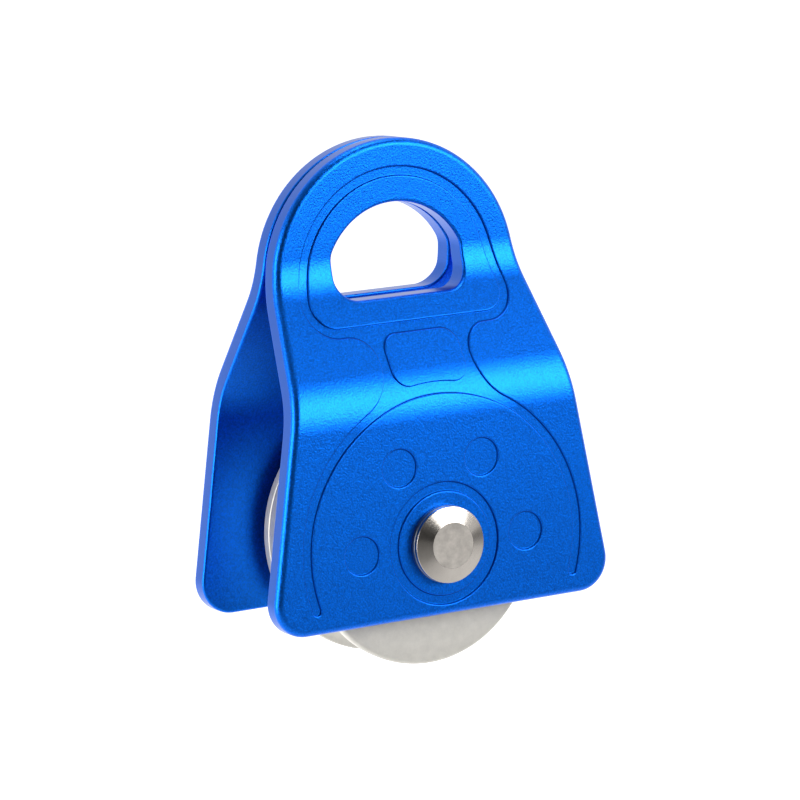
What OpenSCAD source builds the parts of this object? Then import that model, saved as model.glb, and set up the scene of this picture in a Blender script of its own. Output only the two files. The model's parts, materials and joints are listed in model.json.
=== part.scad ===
// Rope pulley with two side plates that swing on one axle, and a grooved sheave on two
// sealed ball bearings. Millimetres. The origin is the middle of the sheave on the axle
// line. +Y runs along the axle to the rear plate, +X is to the right and +Z is up to the eye.

/* [Side plates] */
// Plate thickness
plate_t = 5.7; // [4.5:0.1:7]
// Radius of the arched head
head_r = 34.2; // [32:0.1:42]
// Height of the head's centre above the axle
head_z = 64.6; // [60:0.1:78]
// Radius of the two bottom corners
corner_r = 8.1; // [5:0.1:10]
// Half of the plate's width at the bottom corners
skirt_half_w = 47.1; // [39:0.1:57]
// Depth of the bottom edge below the axle
skirt_drop = 17.9; // [14.6:0.1:22]

/* [Bend] */
// Gap between the two heads
head_gap = 0.4; // [0.3:0.1:2]
// Height at which the plate starts to bend inwards
bend_z = 30.7; // [24:0.1:36]
// Bend angle
bend_angle = 30.5; // [24:0.5:37]
// Radius of both bends at the middle of the thickness
bend_r = 23; // [19:0.5:28]

/* [Eye] */
// Half of the eye's width
eye_half_w = 18.3; // [15:0.1:22]
// Radius of the eye's arched top
eye_r = 20.1; // [18:0.1:24]
// Height of the arch's centre
eye_z = 63; // [60:0.1:76]
// Height of the eye's flat lower edge
eye_floor_z = 60.2; // [56:0.1:66]
// Corner radius of the eye
eye_corner_r = 5.8; // [3:0.1:7]

/* [Face pattern] */
// Depth of the recessed pattern
recess = 0.5; // [0.3:0.1:1]
// Width of the recessed band
band_w = 2.4; // [1.6:0.1:3]
// Outer radius of the band over the eye
loop_r = 27.7; // [25:0.1:31]
// Height of that band's centre
loop_z = 64.2; // [58:0.1:76]
// Outer corner radius of the band under the eye
loop_corner_r = 8.1; // [6:0.1:10]
// Sideways place of those corners' centres
loop_corner_x = 20.9; // [18:0.1:24]
// Height of those corners' centres
loop_corner_z = 60.2; // [56:0.1:66]
// Half of the outer width of the neck
neck_half_w = 12.75; // [10:0.05:15]
// Fillet of the neck into the upper band
neck_top_fillet = 6.5; // [4:0.5:8]
// Fillet of the neck into the big arc
neck_foot_fillet = 13; // [10:0.5:16]
// Height of the window's upper edge
window_top_z = 51.9; // [50:0.1:55]
// Corner radius of the window
window_corner_r = 4; // [2:0.5:4.5]
// Outer radius of the big arc
arc_r = 39.4; // [36:0.1:42]
// Width of metal left between the big arc's inside and the window
window_foot = 3; // [2.5:0.1:4]
// Depth below the axle at which the big arc ends
arc_drop = 13; // [8:0.5:14]
// Inner radius of the ring around the axle
ring_r = 12.9; // [11.5:0.1:14]
// Radius of one round recess
dot_r = 4.8; // [3:0.1:5.8]
// Radius of the circle that the round recesses lie on
dot_pitch_r = 23.2; // [21.5:0.1:25]
// Angles of the round recesses from straight up
dot_angles = [-90, -30, 30, 90];

/* [Sheave] */
// Flange diameter
sheave_d = 63.4; // [58:0.1:70]
// Width
sheave_w = 26.1; // [23.5:0.1:30]
// Diameter at the bottom of the rope groove
tread_d = 49; // [44:0.1:52]
// Radius of the round rope groove
groove_r = 10.4; // [8:0.1:11]
// Chamfer on the flange edges
flange_chamfer = 0.6; // [0.3:0.1:0.8]
// Gap between the sheave and each plate
side_gap = 3.85; // [3.5:0.05:6]

/* [Axle] */
// Axle diameter
axle_d = 12; // [10:0.1:14.5]
// Radius of each head
axle_head_r = 9.5; // [9.2:0.1:11]
// Length of the head's round wall
head_wall = 1.1; // [0.8:0.1:3]
// Length of the head's cone
head_cone = 1.4; // [0.8:0.1:2.5]
// Radius of the head's flat end
head_flat_r = 5.7; // [5.1:0.1:7]
// Diameter of the tenon that the rear head is riveted on
tenon_d = 8; // [6:0.1:9]
// Thickness of the washer under each head
washer_t = 1.5; // [0.5:0.1:2]
// Width by which the washer stands out past the head
washer_lip = 0.1; // [0:0.1:1]

/* [Bushes and bearings] */
// Wall of the plates' bushes
bush_wall = 2; // [1.5:0.1:2.5]
// Radius of the bushes' flanges
bush_flange_r = 11.5; // [10.5:0.1:13]
// Thickness of the bushes' flanges
bush_flange_t = 1; // [0.8:0.1:1.5]
// Ball diameter
ball_d = 6; // [5:0.1:7]
// Number of balls in each bearing
ball_count = 7; // [6:1:7]
// Metal between a raceway's floor and the ring's other side
ring_floor = 1.96; // [1.6:0.02:2.4]
// Height of a ring's shoulder beside the raceway
ring_shoulder = 1.1; // [0.9:0.1:1.4]
// Bearing width
bearing_w = 10; // [9:0.1:10.5]
// Thickness of the shims between the two bearings
shim_t = 0.6; // [0.4:0.1:1]
// Thickness of a bearing shield
shield_t = 0.4; // [0.3:0.1:0.6]
// Distance of a shield from the bearing's side
shield_inset = 0.4; // [0.2:0.1:0.6]
// Thickness of the retaining rings
circlip_t = 1.2; // [1:0.1:1.4]
// Depth of the retaining rings' grooves in the sheave
circlip_groove = 1; // [0.6:0.1:1.4]
// Width of a retaining ring's band
circlip_w = 2.6; // [2:0.1:3]

/* [Clearances] */
// Radial clearance of the axle in a bush
bush_clear = 0.05; // [0.02:0.01:0.1]
// End play between pieces that turn past each other
end_play = 0.15; // [0.1:0.05:0.3]
// Clearance around each ball
ball_clear = 0.04; // [0.02:0.01:0.08]
// Gap between a shield and the inner ring
shield_gap = 0.3; // [0.2:0.05:0.5]

/* [Hidden] */
$fn = 96;
outline_fn = 128;
bend_steps = 12;
past = 1;

// Places along the axle, all measured from the middle of the sheave
plate_in_y = sheave_w / 2 + side_gap;
plate_out_y = plate_in_y + plate_t;
washer_y = plate_out_y + end_play / 2;
under_head_y = washer_y + washer_t;
wall_end_y = under_head_y + head_wall;
head_end_y = wall_end_y + head_cone;
flange_in_y = plate_in_y - bush_flange_t;
bearing_in_y = shim_t / 2;
bearing_mid_y = bearing_in_y + bearing_w / 2;
bearing_out_y = bearing_in_y + bearing_w;
spacer_end_y = flange_in_y - end_play;

// Bearing radii, from the axle outwards
axle_r = axle_d / 2;
ball_r = ball_d / 2;
race_r = ball_r + ball_clear;
ball_pitch_r = axle_r + ring_floor + race_r;
bearing_r = ball_pitch_r + race_r + ring_floor;
inner_land_r = axle_r + ring_floor + ring_shoulder;
outer_land_r = bearing_r - ring_floor - ring_shoulder;
shield_seat_r = outer_land_r + ring_shoulder / 2;
cage_wall = 1.5;
cage_rim = 0.8;
cage_reach = 1.2;

// Place of the plate's middle below and above the bends
skirt_mid_y = plate_in_y + plate_t / 2;
head_mid_y = head_gap / 2 + plate_t / 2;
slope_len = (skirt_mid_y - head_mid_y - 2 * bend_r * (1 - cos(bend_angle))) / sin(bend_angle);
bend_end_z = bend_z + 2 * bend_r * sin(bend_angle) + slope_len * cos(bend_angle);
plate_top_z = max(head_z + head_r, bend_end_z) + 2 * past;

// One point of a side that lies a given distance outside the plate's middle
function low_bend(turn, out) = [
    skirt_mid_y - bend_r + (bend_r + out) * cos(turn),
    bend_z + (bend_r + out) * sin(turn)
];
function high_bend(turn, out) = [
    head_mid_y + bend_r - (bend_r - out) * cos(turn),
    bend_end_z - (bend_r - out) * sin(turn)
];
function plate_side(out) = concat(
    [[skirt_mid_y + out, -skirt_drop - 2 * past]],
    [for (i = [0:bend_steps]) low_bend(bend_angle * i / bend_steps, out)],
    [for (i = [0:bend_steps]) high_bend(bend_angle * (1 - i / bend_steps), out)],
    [[head_mid_y + out, plate_top_z]]
);
function backwards(points) = [for (i = [len(points) - 1:-1:0]) points[i]];

// Extrudes an X-Z drawing along the axle, from y0 to y1
module along_axle(y0, y1) {
    translate([0, y1, 0]) rotate([90, 0, 0]) linear_extrude(y1 - y0) children();
}

// Extrudes a Y-Z drawing across the whole width of the plate
module across_plate() {
    width = 2 * skirt_half_w + 4 * past;
    translate([-width / 2, 0, 0]) rotate([90, 0, 90]) linear_extrude(width) children();
}

// Bent slab between two distances from the plate's middle
module bent_slab(inside, outside) {
    across_plate() polygon(concat(plate_side(outside), backwards(plate_side(inside))));
}

// Round hole or round solid along the axle
module rod(r, y0, y1) {
    translate([0, y0, 0]) rotate([-90, 0, 0]) cylinder(r = r, h = y1 - y0);
}

module tube(outer_r, inner_r, y0, y1) {
    difference() {
        rod(outer_r, y0, y1);
        rod(inner_r, y0 - past, y1 + past);
    }
}

// Turns a drawing of radius against y about the axle
module turned() {
    rotate([-90, 0, 0]) rotate_extrude() children();
}

// Fills the inside corners of a drawing with a radius
module fillet_corners(r) {
    offset(r = -r, $fn = 64) offset(delta = r) children();
}

module round_corners(r) {
    offset(r = r, $fn = 64) offset(delta = -r) children();
}

module plate_outline() {
    corner_x = skirt_half_w - corner_r;
    hull() {
        translate([0, head_z]) circle(head_r, $fn = outline_fn);
        for (side = [-1, 1])
            translate([side * corner_x, corner_r - skirt_drop]) circle(corner_r, $fn = 64);
    }
}

module eye_outline() {
    round_corners(eye_corner_r) intersection() {
        translate([0, eye_z]) circle(eye_r, $fn = outline_fn);
        translate([-eye_half_w, eye_floor_z]) square([2 * eye_half_w, 2 * eye_r]);
    }
}

// The band's loop over the eye, taken in by a given width
module loop_outline(inset) {
    hull() {
        translate([0, loop_z]) circle(loop_r - inset, $fn = outline_fn);
        for (side = [-1, 1])
            translate([side * loop_corner_x, loop_corner_z]) circle(loop_corner_r - inset, $fn = 48);
    }
}

module neck_outline() {
    translate([-neck_half_w, arc_r / 2]) square([2 * neck_half_w, loop_corner_z - arc_r / 2]);
}

module window_outline() {
    half_w = neck_half_w - band_w;
    round_corners(window_corner_r) difference() {
        translate([-half_w, arc_r / 2]) square([2 * half_w, window_top_z - arc_r / 2]);
        circle(arc_r - band_w + window_foot, $fn = outline_fn);
    }
}

// Everything the recessed band goes round: the upper loop, the neck and the big arc
module band_outside() {
    fillet_corners(neck_top_fillet) {
        loop_outline(0);
        neck_outline();
    }
    fillet_corners(neck_foot_fillet) {
        circle(arc_r, $fn = outline_fn);
        neck_outline();
    }
}

module band_outline() {
    tip_r = arc_r - band_w / 2;
    tip_z = band_w / 2 - arc_drop;
    tip_x = sqrt(tip_r * tip_r - tip_z * tip_z);
    reach = 2 * arc_r / tip_r;
    difference() {
        band_outside();
        loop_outline(band_w);
        window_outline();
        circle(arc_r - band_w, $fn = outline_fn);
        polygon([[0, 0], [tip_x, tip_z] * reach, [0, -2 * arc_r], [-tip_x, tip_z] * reach]);
    }
    for (side = [-1, 1])
        translate([side * tip_x, tip_z]) circle(band_w / 2, $fn = 32);
}

module ring_outline() {
    difference() {
        circle(ring_r + band_w, $fn = outline_fn);
        circle(ring_r, $fn = outline_fn);
    }
}

module face_pattern() {
    band_outline();
    ring_outline();
    for (angle = dot_angles)
        rotate(-angle) translate([0, dot_pitch_r]) circle(dot_r, $fn = 48);
}

// The rear plate: its outer face looks along +Y
module plate() {
    difference() {
        intersection() {
            bent_slab(-plate_t / 2, plate_t / 2);
            along_axle(0, plate_out_y + past) plate_outline();
        }
        intersection() {
            bent_slab(plate_t / 2 - recess, plate_t / 2 + past);
            along_axle(0, plate_out_y + past) face_pattern();
        }
        along_axle(-past, plate_out_y + past) eye_outline();
        rod(axle_r + bush_clear + bush_wall, plate_in_y - past, plate_out_y + past);
    }
}

// Flanged bush, pressed into the plate with its flange on the inner face
module bush() {
    bore_r = axle_r + bush_clear;
    tube(bore_r + bush_wall, bore_r, plate_in_y, plate_out_y);
    tube(bush_flange_r, bore_r, flange_in_y, plate_in_y);
}

// Outer shape of an axle head, from its underside to its flat end
module head_shape() {
    turned() polygon([
        [0, under_head_y], [axle_head_r, under_head_y], [axle_head_r, wall_end_y],
        [head_flat_r, head_end_y], [0, head_end_y]
    ]);
}

module head_washer() {
    tube(axle_head_r + washer_lip, axle_r, washer_y, under_head_y);
}

module thrust_spacer() {
    tube(inner_land_r, axle_r, bearing_out_y, spacer_end_y);
}

module raceway() {
    turned() translate([ball_pitch_r, bearing_mid_y]) circle(race_r, $fn = 64);
}

module bearing_inner_ring() {
    difference() {
        tube(inner_land_r, axle_r, bearing_in_y, bearing_out_y);
        raceway();
    }
}

module bearing_outer_ring() {
    seat = shield_inset + shield_t;
    difference() {
        tube(bearing_r, outer_land_r, bearing_in_y, bearing_out_y);
        raceway();
        rod(shield_seat_r, bearing_in_y - past, bearing_in_y + seat);
        rod(shield_seat_r, bearing_out_y - seat, bearing_out_y + past);
    }
}

// Shield whose inner side lies at a given place along the axle
module bearing_shield(y) {
    tube(shield_seat_r, inner_land_r + shield_gap, y, y + shield_t);
}

module ball_places() {
    for (i = [0:ball_count - 1])
        rotate([0, 360 * i / ball_count, 0]) translate([0, bearing_mid_y, ball_pitch_r]) children();
}

module bearing_balls() {
    ball_places() rotate([-90, 0, 0]) sphere(ball_r, $fn = 48);
}

// Crown cage: a closed rim on the inboard side, with a pocket for each ball
module bearing_cage() {
    difference() {
        tube(
            ball_pitch_r + cage_wall / 2, ball_pitch_r - cage_wall / 2,
            bearing_mid_y - race_r - cage_rim, bearing_mid_y + cage_reach
        );
        ball_places() rotate([-90, 0, 0]) sphere(race_r, $fn = 48);
    }
}

// Internal retaining ring with a gap and an eyed lug at each end
module circlip() {
    outer_r = bearing_r + circlip_groove - ball_clear;
    band_r = outer_r - circlip_w;
    lug_r = 1.9;
    lug_angle = 22;
    gap_end = 2 * bearing_r * [sin(lug_angle / 2), -cos(lug_angle / 2)];
    difference() {
        union() {
            tube(outer_r, band_r, bearing_out_y, bearing_out_y + circlip_t);
            for (side = [-1, 1])
                rotate([0, side * lug_angle, 0]) translate([0, 0, -band_r])
                    rod(lug_r, bearing_out_y, bearing_out_y + circlip_t);
        }
        for (side = [-1, 1])
            rotate([0, side * lug_angle, 0]) translate([0, 0, -band_r])
                rod(lug_r / 2, bearing_out_y - past, bearing_out_y + circlip_t + past);
        along_axle(bearing_out_y - past, bearing_out_y + circlip_t + past)
            polygon([[0, 0], gap_end, [-gap_end[0], gap_end[1]]]);
    }
}

module sheave() {
    flange_r = sheave_d / 2;
    groove_x = tread_d / 2 + groove_r;
    mouth_y = sqrt(pow(groove_r, 2) - pow(max(groove_x - flange_r, 0), 2));
    clip_y = bearing_out_y + circlip_t + ball_clear;
    color("lightgray") difference() {
        turned() difference() {
            translate([0, -sheave_w / 2]) square([flange_r, sheave_w]);
            translate([groove_x, 0]) circle(groove_r);
            translate([groove_x, -groove_r]) square([flange_r, 2 * groove_r]);
            for (y = [-sheave_w / 2, -mouth_y, mouth_y, sheave_w / 2])
                translate([flange_r, y]) rotate(45) square(flange_chamfer * sqrt(2), center = true);
        }
        rod(bearing_r, -sheave_w / 2 - past, sheave_w / 2 + past);
        for (side = [0, 1])
            mirror([0, side, 0]) rod(bearing_r + circlip_groove, bearing_out_y, clip_y);
    }
}

// Mirrors a rear piece to the front
module to_front() {
    mirror([0, 1, 0]) children();
}

module front_cheek() { color("royalblue") to_front() plate(); }
module rear_cheek() { color("royalblue") plate(); }
module front_cheek_bush() { color("goldenrod") to_front() bush(); }
module rear_cheek_bush() { color("goldenrod") bush(); }

// The axle with its front head, and a stepped tenon at the rear for the riveted head
module axle_pin() {
    color("silver") {
        to_front() head_shape();
        rod(axle_r, -under_head_y, under_head_y);
        rod(tenon_d / 2, under_head_y, head_end_y);
    }
}

module axle_rear_head() {
    color("silver") difference() {
        head_shape();
        rod(tenon_d / 2, under_head_y - past, head_end_y + past);
    }
}

module front_head_washer() { color("gray") to_front() head_washer(); }
module rear_head_washer() { color("gray") head_washer(); }
module front_thrust_spacer() { color("silver") to_front() thrust_spacer(); }
module rear_thrust_spacer() { color("silver") thrust_spacer(); }
module front_circlip() { color("dimgray") to_front() circlip(); }
module rear_circlip() { color("dimgray") circlip(); }
module inner_ring_shim() { color("silver") tube(inner_land_r, axle_r, -shim_t / 2, shim_t / 2); }
module outer_ring_shim() { color("silver") tube(bearing_r, outer_land_r, -shim_t / 2, shim_t / 2); }

module rear_bearing_outer_ring() { color("lightsteelblue") bearing_outer_ring(); }
module rear_bearing_inner_ring() { color("lightsteelblue") bearing_inner_ring(); }
module rear_bearing_cage() { color("darkkhaki") bearing_cage(); }
module rear_bearing_balls() { color("white") bearing_balls(); }
module rear_bearing_outboard_shield() {
    color("darkgray") bearing_shield(bearing_out_y - shield_inset - shield_t);
}
module rear_bearing_inboard_shield() {
    color("darkgray") bearing_shield(bearing_in_y + shield_inset);
}

module front_bearing_outer_ring() { to_front() rear_bearing_outer_ring(); }
module front_bearing_inner_ring() { to_front() rear_bearing_inner_ring(); }
module front_bearing_cage() { to_front() rear_bearing_cage(); }
module front_bearing_balls() { to_front() rear_bearing_balls(); }
module front_bearing_outboard_shield() { to_front() rear_bearing_outboard_shield(); }
module front_bearing_inboard_shield() { to_front() rear_bearing_inboard_shield(); }

front_cheek();
rear_cheek();
front_cheek_bush();
rear_cheek_bush();
axle_pin();
axle_rear_head();
front_head_washer();
rear_head_washer();
front_thrust_spacer();
rear_thrust_spacer();
sheave();
front_circlip();
rear_circlip();
inner_ring_shim();
outer_ring_shim();
front_bearing_outer_ring();
front_bearing_inner_ring();
front_bearing_cage();
front_bearing_balls();
front_bearing_outboard_shield();
front_bearing_inboard_shield();
rear_bearing_outer_ring();
rear_bearing_inner_ring();
rear_bearing_cage();
rear_bearing_balls();
rear_bearing_outboard_shield();
rear_bearing_inboard_shield();
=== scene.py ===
"""Looks of the rope pulley: blasted and anodised side plates, turned sheave and axle, sealed bearings."""

import json
import math
from dataclasses import dataclass

import bmesh
import bpy
from bpy.props import FloatProperty, FloatVectorProperty, IntProperty, PointerProperty
from mathutils import Matrix, Vector


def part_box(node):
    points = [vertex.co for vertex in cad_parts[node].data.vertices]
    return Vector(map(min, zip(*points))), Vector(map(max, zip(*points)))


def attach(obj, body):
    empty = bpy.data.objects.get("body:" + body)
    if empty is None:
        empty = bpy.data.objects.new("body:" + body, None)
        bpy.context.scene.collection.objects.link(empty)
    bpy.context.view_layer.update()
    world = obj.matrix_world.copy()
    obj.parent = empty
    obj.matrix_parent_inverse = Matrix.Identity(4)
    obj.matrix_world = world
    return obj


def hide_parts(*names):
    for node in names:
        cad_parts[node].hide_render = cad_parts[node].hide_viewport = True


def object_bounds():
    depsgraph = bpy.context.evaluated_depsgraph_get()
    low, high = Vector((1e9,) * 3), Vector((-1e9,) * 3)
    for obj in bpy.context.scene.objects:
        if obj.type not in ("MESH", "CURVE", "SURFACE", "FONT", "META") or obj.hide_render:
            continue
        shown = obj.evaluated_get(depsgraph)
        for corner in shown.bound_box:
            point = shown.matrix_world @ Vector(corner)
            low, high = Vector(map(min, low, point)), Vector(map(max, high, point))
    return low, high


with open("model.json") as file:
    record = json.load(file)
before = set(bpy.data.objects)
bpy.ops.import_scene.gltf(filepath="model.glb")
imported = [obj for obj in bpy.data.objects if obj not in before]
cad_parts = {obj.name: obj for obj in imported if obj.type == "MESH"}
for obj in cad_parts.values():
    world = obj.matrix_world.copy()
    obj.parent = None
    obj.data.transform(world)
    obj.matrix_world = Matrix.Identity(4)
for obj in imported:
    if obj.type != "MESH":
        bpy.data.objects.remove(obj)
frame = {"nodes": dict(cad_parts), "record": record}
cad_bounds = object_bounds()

bl_info = {
    "name": "Rope pulley looks",
    "version": (1, 0, 0),
    "blender": (4, 5, 0),
    "location": "3D View > Sidebar > Pulley",
    "description": "Models and finishes the visible pieces of a swing-plate rope pulley",
    "category": "Object",
}

MM = 0.001
# Places nearer than this count as one place
TOUCHING = 1e-6
# Distance within which the mesh tools merge corners
MERGE = 1e-7
# Arcs above this radius get more points, because their facets would show
LARGE_ARC = 10 * MM
# Flat strip kept around every rounding of a plate, so that smooth shading doesn't spread over flat faces
GUARD = 0.15 * MM
# Height of the strips that let a plate bend
BEND_STRIP = 0.55 * MM
# Faces across the rope groove and across a ball raceway
GROOVE_STEPS = 48
RACE_STEPS = 16
# Edges that turn more than this are sharp on a turned piece
SHARP_TURN = math.radians(35)
# A plate's finishes in the order of its mesh's material slots: faces, straight walls, recess walls with
# painted shade
PLATE_FINISHES = ("blasted_anodised_aluminium", "milled_anodised_edge", "recess_wall_painted_shade")


# ---------------------------------------------------------------- sizes and colours


def length(name, description, mm):
    """A size property whose default is given in millimetres."""
    return FloatProperty(
        name=name, description=description, default=mm * MM, min=0.0,
        subtype="DISTANCE", unit="LENGTH", precision=5,
    )


def hex_to_linear(code):
    """Turns an sRGB hex colour into linear red, green and blue."""
    channels = [int(code[i:i + 2], 16) / 255 for i in (1, 3, 5)]
    return [c / 12.92 if c <= 0.04045 else ((c + 0.055) / 1.055) ** 2.4 for c in channels]


def colour(name, description, code):
    """A colour property whose default is an sRGB hex code."""
    return FloatVectorProperty(
        name=name, description=description, default=hex_to_linear(code), size=3,
        subtype="COLOR", min=0.0, max=1.0,
    )


class PlateSizes(bpy.types.PropertyGroup):
    """Sizes of one bent side plate."""

    thickness: length("Thickness", "Thickness of the plate", 5.7)
    face_round: length("Face rounding", "Radius between the outer face and the plate's edge", 1.8)
    back_round: length("Back rounding", "Radius between the inner face and the plate's edge", 0.7)
    eye_round: length("Eye rounding", "Radius on both edges of the eye", 0.7)
    bore_round: length("Bore rounding", "Radius on the edges of the bush's bore", 0.3)
    head_radius: length("Head radius", "Radius of the arched head", 34.2)
    corner_radius: length("Corner radius", "Radius of the two bottom corners", 8.1)
    bend_start: length("Bend start", "Height above the axle where the bend begins", 30.7)
    bend_radius: length("Bend radius", "Radius of both bends at half thickness", 23.0)
    bend_angle: FloatProperty(
        name="Bend angle", description="Slope of the plate between its bends",
        default=math.radians(30.5), subtype="ANGLE", unit="ROTATION",
    )
    eye_half_width: length("Eye half width", "Half of the eye's width", 18.3)
    eye_radius: length("Eye radius", "Radius of the eye's arched top", 20.1)
    eye_centre: length("Eye centre", "Height of the eye arch's centre", 63.0)
    eye_floor: length("Eye floor", "Height of the eye's flat lower edge", 60.2)
    eye_corner: length("Eye corner", "Corner radius of the eye", 5.8)


class PatternSizes(bpy.types.PropertyGroup):
    """Sizes of the recessed pattern on a plate's outer face."""

    depth: length("Depth", "Depth of the recessed pattern", 0.5)
    lip: length("Lip", "Rounding at the top and the foot of the recess walls", 0.22)
    band: length("Band width", "Width of the recessed band", 2.4)
    loop_radius: length("Loop radius", "Outer radius of the band over the eye", 27.7)
    loop_centre: length("Loop centre", "Height of that band's centre", 64.2)
    loop_corner: length("Loop corner", "Outer corner radius of the band under the eye", 8.1)
    loop_corner_x: length("Loop corner place", "Sideways place of those corners' centres", 20.9)
    loop_corner_z: length("Loop corner height", "Height of those corners' centres", 60.2)
    neck_half_width: length("Neck half width", "Half of the neck's outer width", 12.75)
    neck_top_fillet: length("Neck top fillet", "Fillet of the neck into the upper band", 6.5)
    neck_foot_fillet: length("Neck foot fillet", "Fillet of the neck into the big arc", 13.0)
    window_top: length("Window top", "Height of the window's upper edge", 51.9)
    window_corner: length("Window corner", "Corner radius of the window", 4.0)
    window_foot: length("Window foot", "Recess between the big arc and the window", 3.0)
    arc_radius: length("Arc radius", "Outer radius of the big arc", 39.4)
    arc_drop: length("Arc drop", "Depth below the axle at which the big arc ends", 13.0)
    ring_radius: length("Ring radius", "Inner radius of the ring around the axle", 12.9)
    dot_radius: length("Dot radius", "Radius of one round recess", 4.8)
    dot_pitch: length("Dot pitch", "Radius of the circle the round recesses lie on", 23.2)


class TurnedSizes(bpy.types.PropertyGroup):
    """Sizes of the turned pieces that their boxes in the frame don't give."""

    tread_radius: length("Tread radius", "Radius at the bottom of the rope groove", 24.5)
    groove_radius: length("Groove radius", "Radius of the round rope groove", 10.4)
    rim_round: length("Rim rounding", "Rounding on the flanges' outer edges", 1.0)
    edge_break: length("Edge break", "Rounding on the edges of turned pieces", 0.25)
    clip_groove: length("Clip groove", "Depth of the retaining rings' grooves", 1.0)
    axle_radius: length("Axle radius", "Radius of the axle", 6.0)
    head_wall: length("Head wall", "Length of an axle head's round wall", 1.1)
    head_flat: length("Head flat", "Radius of an axle head's flat end", 5.7)
    tenon_radius: length("Tenon radius", "Radius of the tenon under the rear head", 4.0)
    bush_gap: length("Bush gap", "Radial clearance between the axle and a bush", 0.05)
    bush_wall: length("Bush wall", "Wall of the plates' bushes", 2.0)
    bush_flange: length("Bush flange", "Thickness of the bushes' flanges", 1.0)
    ring_floor: length("Ring floor", "Metal behind a raceway's floor", 1.96)
    ring_shoulder: length("Ring shoulder", "Height of a ring's shoulder", 1.1)
    shield_gap: length("Shield gap", "Gap between a shield and the inner ring", 0.3)
    turning_steps: IntProperty(
        name="Turning steps", description="Faces round a turned piece", default=144, min=24,
    )


class FinishColours(bpy.types.PropertyGroup):
    """Colours of the finishes."""

    anodised_blue: colour("Anodised blue", "Dyed anodic layer on the plates", "#046CE7")
    anodised_edge: colour("Anodised edge", "The plates' milled walls", "#0858C0")
    machined_aluminium: colour("Machined aluminium", "Bare turned sheave", "#DAD7CF")
    stainless: colour("Stainless", "Turned axle and its heads", "#C8C2BB")
    peened_steel: colour("Peened steel", "Peened ends of the axle", "#B4AFA9")
    # Washers and spacers: ground steel, darker than the axle as painted shade where they sit under the heads
    washer_steel_painted_shade: colour("Washer steel", "Ground washers and spacers", "#8E9298")
    bronze: colour("Bronze", "Sintered bronze bushes", "#B08A54")
    clip_steel: colour("Clip steel", "Phosphated retaining rings", "#3A3B3D")
    bearing_steel: colour("Bearing steel", "Ground bearing rings and balls", "#C8C8C8")
    shield_steel: colour("Shield steel", "Pressed bearing shields", "#A8A9AA")
    cage_nylon: colour("Cage nylon", "Moulded ball cages", "#D8CBA4")
    floor_white: colour("Floor white", "Studio floor", "#F4F4F4")


class StageSizes(bpy.types.PropertyGroup):
    """Camera, floor and lights."""

    lens: FloatProperty(
        name="Lens", description="Focal length on a 36 mm sensor",
        default=179.7, min=1.0, subtype="DISTANCE_CAMERA",
    )
    distance: length("Distance", "From the camera to the point it looks at", 993.6)
    azimuth: FloatProperty(
        name="Azimuth", description="Camera's turn to the left of the front",
        default=math.radians(29.25), subtype="ANGLE", unit="ROTATION",
    )
    elevation: FloatProperty(
        name="Elevation", description="Camera's height above the horizon",
        default=math.radians(8.81), subtype="ANGLE", unit="ROTATION",
    )
    roll: FloatProperty(
        name="Roll", description="Camera's tilt about its own axis",
        default=math.radians(-2.945), subtype="ANGLE", unit="ROTATION",
    )
    aim: FloatVectorProperty(
        name="Aim", description="Point the camera looks at",
        default=(1.6 * MM, -0.9 * MM, 33.0 * MM), size=3, subtype="TRANSLATION", unit="LENGTH",
    )
    light_aim: FloatVectorProperty(
        name="Light aim", description="Point the softboxes face",
        default=(0.0, 0.0, 35.0 * MM), size=3, subtype="TRANSLATION", unit="LENGTH",
    )
    floor_gap: length("Floor gap", "Height of the hanging pulley above the floor", 180.0)
    floor_reach: length("Floor reach", "From the floor's middle to its edges", 30000.0)


# ---------------------------------------------------------------- outlines


@dataclass
class Round:
    """A circle that an outline goes round: turn is 1 where the outline bulges, -1 where it hollows."""

    x: float
    z: float
    radius: float
    turn: int = 1


def heading_between(first, second):
    """Heading of the straight line that leaves one round and meets the next."""
    dx, dz = second.x - first.x, second.z - first.z
    swing = second.turn * second.radius - first.turn * first.radius
    ratio = max(-1.0, min(1.0, swing / math.hypot(dx, dz)))
    return math.atan2(dz, dx) - math.asin(ratio)


def outline_points(rounds):
    """Points, with outward normals, of the closed outline drawn anticlockwise round the given circles."""
    count = len(rounds)
    headings = [heading_between(rounds[i], rounds[(i + 1) % count]) for i in range(count)]
    points = []
    for i, part in enumerate(rounds):
        start, end = headings[i - 1], headings[i]
        sweep = (end - start) * part.turn % math.tau
        # A sweep of nothing can come out as a hair under a full turn
        if sweep > math.tau - 1e-4:
            sweep = 0.0
        step = math.radians(3 if part.radius > LARGE_ARC else 6)
        pieces = max(1, math.ceil(sweep / step))
        for k in range(pieces + 1):
            heading = start + part.turn * sweep * k / pieces
            normal = Vector((math.sin(heading), -math.cos(heading)))
            centre = Vector((part.x, part.z))
            points.append((centre + part.turn * part.radius * normal, normal))
    kept = []
    for point, normal in points:
        if not kept or (point - kept[-1][0]).length > TOUCHING:
            kept.append((point, normal))
    if (kept[0][0] - kept[-1][0]).length < TOUCHING:
        kept.pop()
    return kept


def circle_points(x, z, radius):
    """Points and outward normals of a full circle."""
    steps = 120 if radius > LARGE_ARC else 72
    points = []
    for k in range(steps):
        angle = math.tau * k / steps
        normal = Vector((math.cos(angle), math.sin(angle)))
        points.append((Vector((x, z)) + radius * normal, normal))
    return points


def plate_rounds(size, low, high):
    """The plate's outline: two bottom corners and the arched head."""
    corner_x = high.x - size.corner_radius
    corner_z = low.z + size.corner_radius
    return [
        Round(-corner_x, corner_z, size.corner_radius),
        Round(corner_x, corner_z, size.corner_radius),
        Round(0.0, high.z - size.head_radius, size.head_radius),
    ]


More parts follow.
